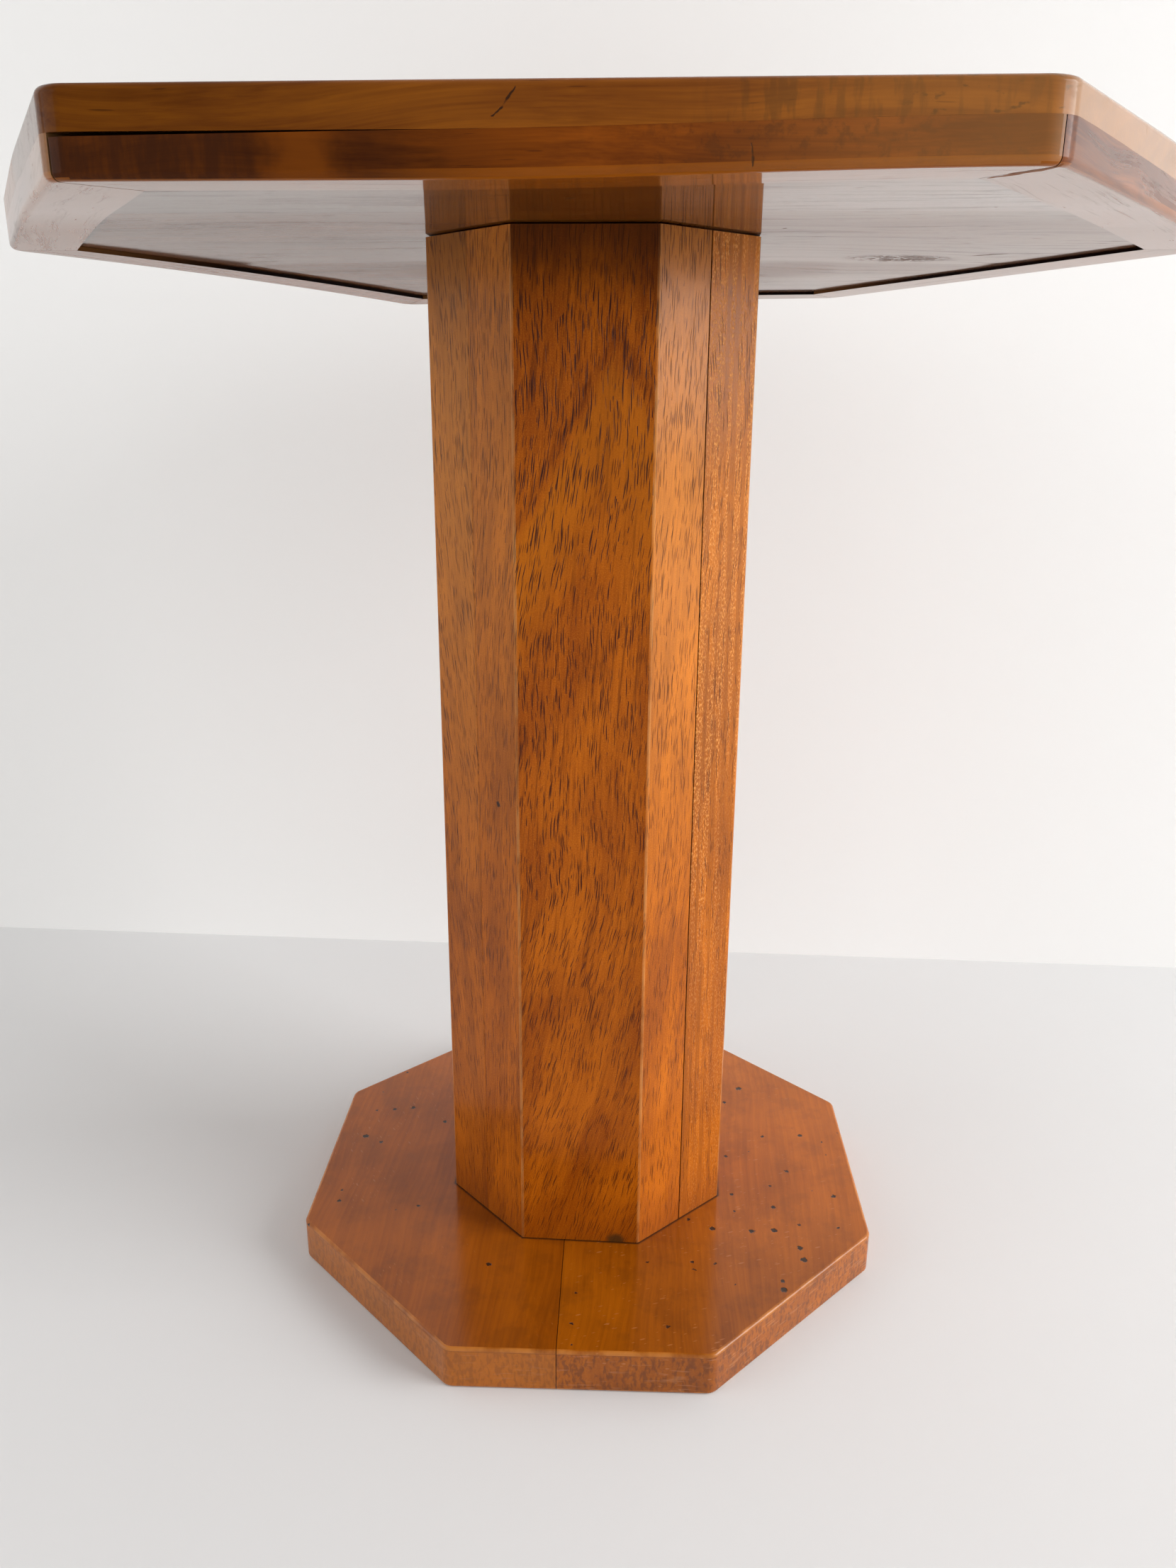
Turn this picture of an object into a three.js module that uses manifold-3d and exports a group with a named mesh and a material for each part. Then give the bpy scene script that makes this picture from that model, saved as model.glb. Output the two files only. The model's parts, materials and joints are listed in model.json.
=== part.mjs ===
// Tilt-top side table: a hexagonal top with a mitred rim, hinged at the back of an
// octagonal box column, on an octagonal base of two edge-glued boards.
// The front and back planks of the top lean down a little from the middle one.
// Millimetres, +Z up. The origin is on the floor on the column's axis, and the front is -Y.
import * as THREE from 'three';
import { mergeVertices } from 'three/addons/utils/BufferGeometryUtils.js';
import Module from 'manifold-3d';

// ---- Driving dimensions ----
const fit = 0.1; // glue line, and the space between parts that seat on each other
const running = 0.3; // space around what moves
const screwRoom = 0.2; // space around a screw in its hole

// Base
const baseAcross = 320; // flat to flat
const baseThick = 24;
const baseTurn = THREE.MathUtils.degToRad(2); // the base is set slightly askew under the column
const baseSeam = -11.5; // glue joint, left of the middle
const baseCorner = 3; // radius of the upright corners
const baseEase = 2.5; // radius of the top and bottom arrises
const dowelRadius = 4;
const dowelLength = 40;
const dowelPitch = 98;
const baseScrewRadius = 2.25;
const baseScrewLength = 44;
const baseScrewInset = 17; // from the side of the foot block
const baseScrewSink = 0.5; // head above the floor

// Column
const columnAcross = 155; // flat to flat
const columnLength = 517;
const wallThick = 28;
const columnArris = 1.6;
const footBlockDepth = 30;
const headBlockDepth = 40;
const postLeg = 22; // legs of the three-cornered glue posts
const postNip = 4;

// Top
const topAcross = 510; // flat to flat
const topThick = 26; // planks over the rim
const rimThick = 13;
const rimReveal = 3; // how far the rim stands below the planks
const rimWidth = 30;
const topCorner = 7;
const topEase = 3;
const topFall = 8; // how far the front and back edges lie below the middle
const restGap = 0.8; // shadow line between the column and the underside

// Hinge
const leafLength = 50;
const leafWidth = 24; // from the pin's axis to the free edge
const leafThick = 2;
const knuckleCount = 5;
const knuckleRadius = 2.8;
const knuckleLift = 0.5; // between a knuckle and the wood
const pinRadius = 1.2;
const pinHead = 0.9; // thickness of the pin's domed ends
const leafScrewRadius = 1.4;
const leafScrewInset = 8; // from the leaf's free edges
const leafMargin = 3.2; // from the leaf to the joint of the planks
const columnScrewLength = 16;
const topScrewLength = 9.5;

// Magnetic catch, let into the column's head
const catchForward = 32; // from the column's axis
const catchLength = 46;
const catchWidth = 15;
const catchDepth = 13;
const magnetLength = 28;
const magnetWidth = 6;
const magnetDepth = 9;
const poleThick = 1.6;
const poleProud = 0.6;
const plateLength = 42;
const plateWidth = 13;
const plateThick = 1.2;
const catchScrewRadius = 1.4;
const catchScrewLength = 12;
const catchScrewInset = 4; // from the housing's ends
const plateScrewRadius = 1.1;
const plateScrewLength = 8;
const mortiseRoom = 1.2; // around the housing and the plate, so that the plate swings clear

// Facets
const cornerFacets = 4;
const arrisFacets = 3;
const screwFacets = 14;
const turnedFacets = 20;

// ---- Heights and places that follow ----
const columnFoot = baseThick + fit;
const columnHead = columnFoot + columnLength;
const underside = columnHead + restGap;
const columnHalf = columnAcross / 2;
const wellHalf = columnHalf - wallThick; // half the column's square hollow
const blockHalf = wellHalf - fit;
const pinOffset = knuckleRadius + knuckleLift;
const pinY = columnHalf + pinOffset;
const pinZ = underside - pinOffset;
const middleHalf = pinY + leafWidth + leafMargin; // half the width of the middle plank
const rebateTop = rimThick - rimReveal; // from the underside up to the rim's seat
const plateFace = underside - fit - plateThick; // lower face of the catch plate
const poleTop = plateFace - running;
const catchTop = poleTop - poleProud;

// ---- Materials ----
const standard = (color, roughness, metalness) =>
  new THREE.MeshStandardMaterial({ color, roughness, metalness });
const columnWood = standard(0x8f4f26, 0.4, 0);
const baseWood = standard(0x9a5a30, 0.38, 0);
const topWood = standard(0x8a5426, 0.35, 0);
const rimWood = standard(0x6f3f20, 0.35, 0);
const innerWood = standard(0xc8a06c, 0.7, 0);
const brass = standard(0xb08a45, 0.35, 1);
const steel = standard(0x9c9b97, 0.4, 1);
const plastic = standard(0x3b261b, 0.5, 0);
const ferrite = standard(0x2b2a2c, 0.6, 0);

// ---- Shaping ----
const table = new THREE.Group();
const topGroup = new THREE.Group(); // z = 0 is the underside of the board
topGroup.position.z = underside;
table.add(topGroup);

const wasm = await Module();
wasm.setup();

// A geometry as a closed solid that can be joined and cut
function solid(geometry) {
  const bare = geometry.clone();
  bare.deleteAttribute('normal');
  bare.deleteAttribute('uv');
  const merged = mergeVertices(bare);
  return new wasm.Manifold(new wasm.Mesh({
    numProp: 3,
    vertProperties: new Float32Array(merged.attributes.position.array),
    triVerts: new Uint32Array(merged.index.array),
  }));
}

function geometryOf(body) {
  const mesh = body.getMesh();
  const geometry = new THREE.BufferGeometry();
  geometry.setAttribute('position', new THREE.BufferAttribute(mesh.vertProperties, 3));
  geometry.setIndex(new THREE.BufferAttribute(mesh.triVerts, 1));
  geometry.computeVertexNormals();
  return geometry;
}

function cut(body, ...tools) {
  return tools.reduce((left, tool) => left.subtract(solid(tool)), body);
}

function addPiece(name, geometry, material, parent = table) {
  const mesh = new THREE.Mesh(geometry, material);
  mesh.name = name;
  parent.add(mesh);
  return mesh;
}

// A regular outline with rounded corners and one flat towards -Y
function regularOutline(sides, across, corner) {
  const outline = new THREE.Shape();
  const half = Math.PI / sides;
  const reach = (across / 2 - corner) / Math.cos(half);
  for (let k = 0; k < sides; k += 1) {
    const bearing = half * (2 * k + 1) - Math.PI / 2;
    const x = reach * Math.cos(bearing);
    const y = reach * Math.sin(bearing);
    outline.absarc(x, y, corner, bearing - half, bearing + half);
  }
  outline.closePath();
  return outline;
}

function prism(outline, low, high) {
  const options = { depth: high - low, bevelEnabled: false, curveSegments: cornerFacets };
  return new THREE.ExtrudeGeometry(outline, options).translate(0, 0, low);
}

// A slab whose top and bottom arrises are rounded
function easedSlab(outline, low, high, ease) {
  const slab = new THREE.ExtrudeGeometry(outline, {
    depth: high - low - 2 * ease,
    bevelThickness: ease,
    bevelSize: ease,
    bevelOffset: -ease,
    bevelSegments: arrisFacets,
    curveSegments: cornerFacets,
  });
  return slab.translate(0, 0, low + ease);
}

function box(xLow, xHigh, yLow, yHigh, zLow, zHigh) {
  const block = new THREE.BoxGeometry(xHigh - xLow, yHigh - yLow, zHigh - zLow);
  return block.translate((xLow + xHigh) / 2, (yLow + yHigh) / 2, (zLow + zHigh) / 2);
}

function turnedPiece(profile, facets) {
  const points = profile.map(([radius, height]) => new THREE.Vector2(radius, height));
  return new THREE.LatheGeometry(points, facets).rotateX(Math.PI / 2);
}

function rod(radius, length, facets) {
  return turnedPiece([[0, 0], [radius, 0], [radius, length], [0, length]], facets);
}

// A countersunk wood screw: flat head at z = 0, point towards -Z, slotted
function screw(radius, length) {
  const head = 2 * radius;
  const tip = 2 * radius;
  const blank = turnedPiece(
    [[0, -length], [radius, tip - length], [radius, radius - head], [head, 0], [0, 0]],
    screwFacets,
  );
  const slotHalf = radius / 5;
  const slot = box(-head, head, -slotHalf, slotHalf, -radius / 3, radius);
  return geometryOf(cut(solid(blank), slot));
}

// What a screw needs cut from the pieces that it passes through
function screwHole(radius, length) {
  const shank = radius + screwRoom;
  const head = 2 * radius + screwRoom;
  const above = 2 * radius;
  return turnedPiece(
    [[0, -length - screwRoom], [shank, -length - screwRoom], [shank, shank - head], [head, 0],
      [head, above], [0, above]],
    screwFacets,
  );
}

// ---- Base: two boards with dowels across the seam, screwed up into the foot block ----
const far = 2 * (baseAcross + topAcross + columnLength); // beyond every piece
const dowelPlaces = [['front', -dowelPitch], ['middle', 0], ['back', dowelPitch]];
const dowelStart = baseSeam - dowelLength / 2;
const screwSpread = blockHalf - baseScrewInset;
const baseScrewPlaces = [
  [-screwSpread, -screwSpread], [screwSpread, -screwSpread],
  [screwSpread, screwSpread], [-screwSpread, screwSpread],
];

const dowelAt = (radius, room, y) =>
  rod(radius, dowelLength + 2 * room, turnedFacets)
    .rotateY(Math.PI / 2)
    .translate(dowelStart - room, y, baseThick / 2)
    .rotateZ(baseTurn);
const upward = (geometry, [x, y], z) => geometry.rotateX(Math.PI).translate(x, y, z);
const baseScrewHoles = () => baseScrewPlaces.map((place) =>
  upward(screwHole(baseScrewRadius, baseScrewLength), place, baseScrewSink));

const baseOutline = regularOutline(8, baseAcross, baseCorner);
const baseSlab = cut(
  solid(easedSlab(baseOutline, 0, baseThick, baseEase).rotateZ(baseTurn)),
  ...dowelPlaces.map(([, y]) => dowelAt(dowelRadius + fit, 1, y)),
  ...baseScrewHoles(),
);
const besideSeam = (low, high) => solid(box(low, high, -far, far, -far, far).rotateZ(baseTurn));
const leftHalf = besideSeam(-far, baseSeam - fit / 2);
const rightHalf = besideSeam(baseSeam + fit / 2, far);
addPiece('base_board_left', geometryOf(baseSlab.intersect(leftHalf)), baseWood);
addPiece('base_board_right', geometryOf(baseSlab.intersect(rightHalf)), baseWood);
for (const [where, y] of dowelPlaces) {
  addPiece(`base_dowel_${where}`, dowelAt(dowelRadius, 0, y), innerWood);
}
baseScrewPlaces.forEach((place, k) => {
  const baseScrew = upward(screw(baseScrewRadius, baseScrewLength), place, baseScrewSink);
  addPiece(`base_screw_${k + 1}`, baseScrew, steel);
});

// ---- Column: four mitred boards planed to an octagon, over blocks and glue posts ----
// The front board's section: its own facet, half a facet on each side, and two mitres
function boardSection() {
  const facetHalf = columnHalf * Math.tan(Math.PI / 8);
  const diagonal = columnHalf * Math.SQRT2;
  const mitreRoom = fit / Math.SQRT2;
  const facetMiddle = [(diagonal - mitreRoom) / 2, -(diagonal + mitreRoom) / 2];
  const section = new THREE.Shape();
  const arrisReach = columnArris * Math.tan(Math.PI / 8);
  section.moveTo(-wellHalf + mitreRoom, -wellHalf);
  section.lineTo(-facetMiddle[0], facetMiddle[1]);
  const arrisCentre = facetHalf - arrisReach;
  const arrisY = -columnHalf + columnArris;
  section.absarc(-arrisCentre, arrisY, columnArris, Math.PI * 1.25, Math.PI * 1.5);
  section.absarc(arrisCentre, arrisY, columnArris, -Math.PI / 2, -Math.PI / 4);
  section.lineTo(...facetMiddle);
  section.lineTo(wellHalf - mitreRoom, -wellHalf);
  section.closePath();
  return section;
}

const screwRow = leafWidth - leafScrewInset;
const screwReach = leafLength / 2 - leafScrewInset;
const leafScrewX = [-screwReach, 0, screwReach];
const leafFace = pinOffset - fit - leafThick; // from the pin's axis to a leaf's outer face
const columnScrewY = pinY - leafFace;
const columnScrewZ = pinZ - screwRow;
const backward = (geometry, x) =>
  geometry.rotateX(-Math.PI / 2).translate(x, columnScrewY, columnScrewZ);

const boardPlaces = ['front', 'right', 'back', 'left'];
boardPlaces.forEach((where, k) => {
  const board = prism(boardSection(), columnFoot, columnHead).rotateZ(k * Math.PI / 2);
  const holes = where === 'back' ? leafScrewX : [];
  const tools = holes.map((x) => backward(screwHole(leafScrewRadius, columnScrewLength), x));
  addPiece(`column_board_${where}`, geometryOf(cut(solid(board), ...tools)), columnWood);
});

const footTop = columnFoot + footBlockDepth;
const footBlock = box(-blockHalf, blockHalf, -blockHalf, blockHalf, columnFoot, footTop);
addPiece('foot_block', geometryOf(cut(solid(footBlock), ...baseScrewHoles())), innerWood);

const catchY = -catchForward;
const catchScrewX = catchLength / 2 - catchScrewInset;
const catchScrewHoles = () => [-catchScrewX, catchScrewX].map((x) =>
  screwHole(catchScrewRadius, catchScrewLength).translate(x, catchY, catchTop));
const headLow = columnHead - headBlockDepth;
const mortiseX = Math.max(catchLength, plateLength) / 2 + mortiseRoom;
const mortiseY = Math.max(catchWidth, plateWidth) / 2 + mortiseRoom;
const mortiseFloor = catchTop - catchDepth - fit;
const headBlock = cut(
  solid(box(-blockHalf, blockHalf, -blockHalf, blockHalf, headLow, columnHead)),
  box(-mortiseX, mortiseX, catchY - mortiseY, catchY + mortiseY, mortiseFloor, far),
  ...catchScrewHoles(),
);
addPiece('head_block', geometryOf(headBlock), innerWood);

function postSection() {
  const near = blockHalf - postLeg;
  const section = new THREE.Shape();
  section.moveTo(blockHalf, blockHalf);
  section.lineTo(near, blockHalf);
  section.lineTo(near, blockHalf - postNip);
  section.lineTo(blockHalf - postNip, near);
  section.lineTo(blockHalf, near);
  section.closePath();
  return section;
}
for (let k = 0; k < 4; k += 1) {
  const post = prism(postSection(), footTop + fit, headLow - fit).rotateZ(k * Math.PI / 2);
  addPiece(`glue_post_${k + 1}`, post, innerWood);
}

// ---- Catch: a magnet between two pole plates in a housing, and a plate under the top ----
const pocketX = magnetLength / 2 + screwRoom;
const pocketY = magnetWidth / 2 + poleThick + 2 * fit + screwRoom;
const catchLow = catchTop - catchDepth;
const poleLow = catchTop - magnetDepth - fit;
const housing = cut(
  solid(box(-catchLength / 2, catchLength / 2, catchY - catchWidth / 2, catchY + catchWidth / 2,
    catchLow, catchTop)),
  box(-pocketX, pocketX, catchY - pocketY, catchY + pocketY, poleLow - fit, far),
  ...catchScrewHoles(),
);
addPiece('catch_housing', geometryOf(housing), plastic);
const magnetX = magnetLength / 2;
const magnetHigh = poleLow + magnetDepth - poleProud;
const magnet = box(-magnetX, magnetX, -magnetWidth / 2, magnetWidth / 2, poleLow, magnetHigh);
addPiece('catch_magnet', magnet.translate(0, catchY, 0), ferrite);
for (const [where, side] of [['front', -1], ['back', 1]]) {
  const pole = box(-magnetX, magnetX, -poleThick / 2, poleThick / 2, poleLow, poleTop);
  const poleY = catchY + side * (magnetWidth / 2 + fit + poleThick / 2);
  addPiece(`catch_pole_${where}`, pole.translate(0, poleY, 0), steel);
}
for (const [where, x] of [['left', -catchScrewX], ['right', catchScrewX]]) {
  const catchScrew = screw(catchScrewRadius, catchScrewLength);
  addPiece(`catch_screw_${where}`, catchScrew.translate(x, catchY, catchTop), brass);
}

const plateScrewX = (plateLength + magnetLength) / 4;
const belowTop = (geometry, x, y, z) => geometry.rotateX(Math.PI).translate(x, y, z);
const plateScrewHoles = () => [-plateScrewX, plateScrewX].map((x) =>
  belowTop(screwHole(plateScrewRadius, plateScrewLength), x, catchY, -fit - plateThick));
const plate = box(-plateLength / 2, plateLength / 2, catchY - plateWidth / 2,
  catchY + plateWidth / 2, -fit - plateThick, -fit);
addPiece('catch_plate', geometryOf(cut(solid(plate), ...plateScrewHoles())), steel, topGroup);
for (const [where, x] of [['left', -plateScrewX], ['right', plateScrewX]]) {
  const plateScrew = screw(plateScrewRadius, plateScrewLength);
  const placed = belowTop(plateScrew, x, catchY, -fit - plateThick);
  addPiece(`catch_plate_screw_${where}`, placed, steel, topGroup);
}

// ---- Hinge: two leaves whose knuckles interleave on one pin ----
const knuckleLength = leafLength / knuckleCount;
const knuckleStart = (k) => -leafLength / 2 + k * knuckleLength;
const alongX = (geometry, x) => geometry.rotateY(Math.PI / 2).translate(x, 0, 0);

// A leaf about the pin's axis: its plate runs towards +Y and seats on the side that is given
function hingeLeaf(firstKnuckle, side) {
  const outer = side * (pinOffset - fit);
  const inner = side * leafFace;
  const half = leafLength / 2;
  const low = Math.min(outer, inner);
  const high = Math.max(outer, inner);
  let leaf = solid(box(-half, half, 0, leafWidth, low, high));
  for (let k = 0; k < knuckleCount; k += 1) {
    const start = knuckleStart(k) + running / 2;
    if (k % 2 === firstKnuckle) {
      const barrel = rod(knuckleRadius, knuckleLength - running, turnedFacets);
      leaf = leaf.add(solid(alongX(barrel, start)));
    } else {
      const notchLow = start - running;
      const notchHigh = start + knuckleLength;
      leaf = cut(leaf, box(notchLow, notchHigh, -far, knuckleRadius + running, -far, far));
    }
  }
  const bore = alongX(rod(pinRadius + running, leafLength * 2, turnedFacets), -leafLength);
  const holes = leafScrewX.map((x) => {
    const hole = screwHole(leafScrewRadius, leafThick * 2);
    const opening = side > 0 ? hole.rotateX(Math.PI) : hole;
    return opening.translate(x, screwRow, inner);
  });
  return geometryOf(cut(leaf, bore, ...holes));
}

const columnLeaf = addPiece('hinge_leaf_column', hingeLeaf(0, -1), brass);
columnLeaf.rotation.x = -Math.PI / 2;
columnLeaf.position.set(0, pinY, pinZ);
const topLeaf = addPiece('hinge_leaf_top', hingeLeaf(1, 1), brass, topGroup);
topLeaf.position.set(0, pinY, -pinOffset);

const pinHeadRadius = (pinRadius + knuckleRadius) / 2;
const pinHalf = leafLength / 2 + running;
const pin = addPiece('hinge_pin', alongX(turnedPiece(
  [[0, -pinHalf - pinHead], [pinRadius, -pinHalf - pinHead], [pinHeadRadius, -pinHalf],
    [pinRadius, -pinHalf], [pinRadius, pinHalf], [pinHeadRadius, pinHalf],
    [pinRadius, pinHalf + pinHead], [0, pinHalf + pinHead]],
  turnedFacets,
), 0), brass);
pin.position.set(0, pinY, pinZ);

leafScrewX.forEach((x, k) => {
  const columnScrew = backward(screw(leafScrewRadius, columnScrewLength), x);
  addPiece(`hinge_screw_column_${k + 1}`, columnScrew, brass);
  const headFace = -pinOffset + leafFace;
  const topScrew = belowTop(screw(leafScrewRadius, topScrewLength), x, pinY + screwRow, headFace);
  addPiece(`hinge_screw_top_${k + 1}`, topScrew, brass, topGroup);
});

// ---- Top: three edge-glued planks, rebated for six mitred rim strips ----
const topOutline = regularOutline(6, topAcross, topCorner);
const hexagon = solid(easedSlab(topOutline, -rimReveal, topThick - rimReveal, topEase));
const slice = (yLow, yHigh, zLow = -far, zHigh = far) =>
  solid(box(-far, far, yLow, yHigh, zLow, zHigh));

// Leans what lies beyond the middle plank down towards the front and back edges
function leaned(body) {
  const fall = topFall / (topAcross / 2 - middleHalf);
  const [ahead, rest] = body.splitByPlane([0, -1, 0], middleHalf);
  const [behind, middle] = rest.splitByPlane([0, 1, 0], middleHalf);
  const lower = (part) => part.warp((point) => {
    point[2] -= fall * Math.max(0, Math.abs(point[1]) - middleHalf);
  });
  return middle.add(lower(ahead)).add(lower(behind));
}

const topScrewHoles = leafScrewX.map((x) => belowTop(
  screwHole(leafScrewRadius, topScrewLength), x, pinY + screwRow, -pinOffset + leafFace,
));
const coreOutline = regularOutline(6, topAcross - 2 * (rimWidth + fit), fit);
const rebate = cut(slice(-far, far, -far, rebateTop), prism(coreOutline, -2 * far, 2 * far));
const board = cut(
  hexagon.intersect(slice(-far, far, 0, far)).subtract(rebate),
  ...topScrewHoles,
  ...plateScrewHoles(),
);
const jointHalf = fit / 2;
const planks = {
  front: [-far, -middleHalf - jointHalf],
  middle: [-middleHalf + jointHalf, middleHalf - jointHalf],
  back: [middleHalf + jointHalf, far],
};
for (const [where, [low, high]] of Object.entries(planks)) {
  const plank = leaned(board.intersect(slice(low, high)));
  addPiece(`top_plank_${where}`, geometryOf(plank), topWood, topGroup);
}

const rim = cut(
  hexagon.intersect(slice(-far, far, -far, rebateTop - fit)),
  prism(regularOutline(6, topAcross - 2 * rimWidth, fit), -far, far),
);
// The sixth of the rim that faces the front, less half a glue line at each mitre
const sector = new THREE.Shape();
const sectorPoint = -jointHalf / Math.sin(Math.PI / 6);
const sectorHalf = topAcross * Math.sin(Math.PI / 6);
const sectorFoot = sectorPoint - topAcross * Math.cos(Math.PI / 6);
sector.moveTo(0, sectorPoint);
sector.lineTo(-sectorHalf, sectorFoot);
sector.lineTo(sectorHalf, sectorFoot);
sector.closePath();
const rimPlaces = ['front', 'front_right', 'back_right', 'back', 'back_left', 'front_left'];
rimPlaces.forEach((where, k) => {
  const wedge = prism(sector, -far, far).rotateZ(k * Math.PI / 3);
  const strip = leaned(rim.intersect(solid(wedge)));
  addPiece(`rim_strip_${where}`, geometryOf(strip), rimWood, topGroup);
});

export default table;
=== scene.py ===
import json
import math

import bmesh
import bpy
from mathutils import Matrix, Vector


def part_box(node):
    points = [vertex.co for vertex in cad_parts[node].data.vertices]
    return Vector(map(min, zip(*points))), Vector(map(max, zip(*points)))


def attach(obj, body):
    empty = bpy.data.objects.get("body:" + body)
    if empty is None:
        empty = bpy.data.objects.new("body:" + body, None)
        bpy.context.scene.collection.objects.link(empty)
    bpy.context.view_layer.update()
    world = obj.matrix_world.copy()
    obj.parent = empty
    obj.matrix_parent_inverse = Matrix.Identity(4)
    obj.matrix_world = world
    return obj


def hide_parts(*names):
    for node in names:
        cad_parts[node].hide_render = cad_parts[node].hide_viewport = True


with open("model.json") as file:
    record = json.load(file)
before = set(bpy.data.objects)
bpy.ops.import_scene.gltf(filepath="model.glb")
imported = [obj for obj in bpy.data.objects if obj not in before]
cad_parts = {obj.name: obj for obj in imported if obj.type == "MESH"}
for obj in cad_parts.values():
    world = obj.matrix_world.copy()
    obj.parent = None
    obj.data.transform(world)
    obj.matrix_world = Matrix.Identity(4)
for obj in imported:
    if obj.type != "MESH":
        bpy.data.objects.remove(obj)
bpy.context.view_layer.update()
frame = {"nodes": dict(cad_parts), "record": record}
scene = bpy.context.scene


# ---- Camera ----
# It looks slightly down at the column and up at the underside of the top, from just below the top.
LENS = 27.66
CAMERA_PLACE = Vector((0.0389, -0.6362, 0.4723))
CAMERA_PITCH = math.radians(-17.94)
CAMERA_ROLL = math.radians(-0.364)
CAMERA_YAW = math.radians(3.70)

camera_data = bpy.data.cameras.new("camera")
camera_data.sensor_width = 36
camera_data.lens = LENS
camera = bpy.data.objects.new("camera", camera_data)
turn_up = Matrix.Rotation(math.pi / 2 + CAMERA_PITCH, 4, "X")
turn_round = Matrix.Rotation(CAMERA_YAW, 4, "Z")
lean = Matrix.Rotation(-CAMERA_ROLL, 4, "Z")
camera.matrix_world = Matrix.Translation(CAMERA_PLACE) @ turn_round @ turn_up @ lean
scene.collection.objects.link(camera)
scene.camera = camera


# ---- Base ----
# Two boards of a close-grained orange-brown hardwood, glued edge to edge and sawn to an octagon.
# The arrises are rubbed pale, old pits show dark, and the varnish is a satin film over all of it.
column_low, column_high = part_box("column_board_front")
COLUMN_HALF = -column_low.y
BASE_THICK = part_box("base_board_right")[1].z
BASE_ACROSS = 0.320
BASE_TURN = math.radians(2)
SEAM_X = -0.0115
SEAM_GAP = 0.00035
BASE_CORNER = 0.003
BASE_ARRIS = 0.0016


def plug(tree, value, socket):
    """Gives a socket another node's output, or a value of its own. Colours are three numbers."""
    if isinstance(value, bpy.types.NodeSocket):
        tree.links.new(value, socket)
    else:
        socket.default_value = (*value, 1) if socket.type == "RGBA" else value


def calc(tree, operation, *values, clamp=False):
    sum_node = tree.nodes.new("ShaderNodeMath")
    sum_node.operation = operation
    sum_node.use_clamp = clamp
    for value, socket in zip(values, sum_node.inputs):
        plug(tree, value, socket)
    return sum_node.outputs[0]


def times(tree, first, second):
    return calc(tree, "MULTIPLY", first, second)


def sloped(tree, value, slope, start):
    return calc(tree, "MULTIPLY_ADD", value, slope, start)


def greatest(tree, value, *others):
    for other in others:
        value = calc(tree, "MAXIMUM", value, other)
    return value


def vector_calc(tree, operation, first, second=(0, 0, 0), scale=None):
    sum_node = tree.nodes.new("ShaderNodeVectorMath")
    sum_node.operation = operation
    plug(tree, first, sum_node.inputs[0])
    if scale is None:
        plug(tree, second, sum_node.inputs[1])
    else:
        plug(tree, scale, sum_node.inputs["Scale"])
    gives_number = operation in ("LENGTH", "DISTANCE", "DOT_PRODUCT")
    return sum_node.outputs["Value" if gives_number else "Vector"]


def parts_of(tree, vector):
    split = tree.nodes.new("ShaderNodeSeparateXYZ")
    plug(tree, vector, split.inputs[0])
    return split.outputs


def joined(tree, x, y, z):
    whole = tree.nodes.new("ShaderNodeCombineXYZ")
    for value, socket in zip((x, y, z), whole.inputs):
        plug(tree, value, socket)
    return whole.outputs[0]


def placed(tree, vector, move=(0, 0, 0), turn=(0, 0, 0), stretch=(1, 1, 1)):
    mapping = tree.nodes.new("ShaderNodeMapping")
    plug(tree, vector, mapping.inputs["Vector"])
    plug(tree, move, mapping.inputs["Location"])
    plug(tree, turn, mapping.inputs["Rotation"])
    plug(tree, stretch, mapping.inputs["Scale"])
    return mapping.outputs[0]


def fade(tree, value, low, high, start=0.0, end=1.0):
    """A smooth step from start to end as the value goes from low to high."""
    step = tree.nodes.new("ShaderNodeMapRange")
    step.interpolation_type = "SMOOTHSTEP"
    for socket, given in zip(step.inputs, (value, low, high, start, end)):
        plug(tree, given, socket)
    return step.outputs["Result"]


def tinted(tree, amount, first, second, blend="MIX"):
    mix = tree.nodes.new("ShaderNodeMix")
    mix.data_type = "RGBA"
    mix.blend_type = blend
    plug(tree, amount, mix.inputs[0])
    plug(tree, first, mix.inputs[6])
    plug(tree, second, mix.inputs[7])
    return mix.outputs[2]


def shaded(tree, colour, by):
    """The colour multiplied by another."""
    return tinted(tree, 1.0, colour, by, "MULTIPLY")


def cloud(tree, vector, scale, detail=3.0, roughness=0.5, output="Fac"):
    texture = tree.nodes.new("ShaderNodeTexNoise")
    plug(tree, vector, texture.inputs["Vector"])
    for name, value in (("Scale", scale), ("Detail", detail), ("Roughness", roughness)):
        texture.inputs[name].default_value = value
    return texture.outputs[output]


def swaying(tree, vector, scale, detail):
    """Soft noise in all three directions, to both sides of nothing."""
    noise = cloud(tree, vector, scale, detail, output="Color")
    return vector_calc(tree, "SUBTRACT", noise, (0.5, 0.5, 0.5))


def shaken(tree, vector, scale, reach, detail=2.0):
    """The vector moved about by soft noise, to roughen an outline."""
    swayed = vector_calc(tree, "SCALE", swaying(tree, vector, scale, detail), scale=reach)
    return vector_calc(tree, "ADD", vector, swayed)


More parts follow.
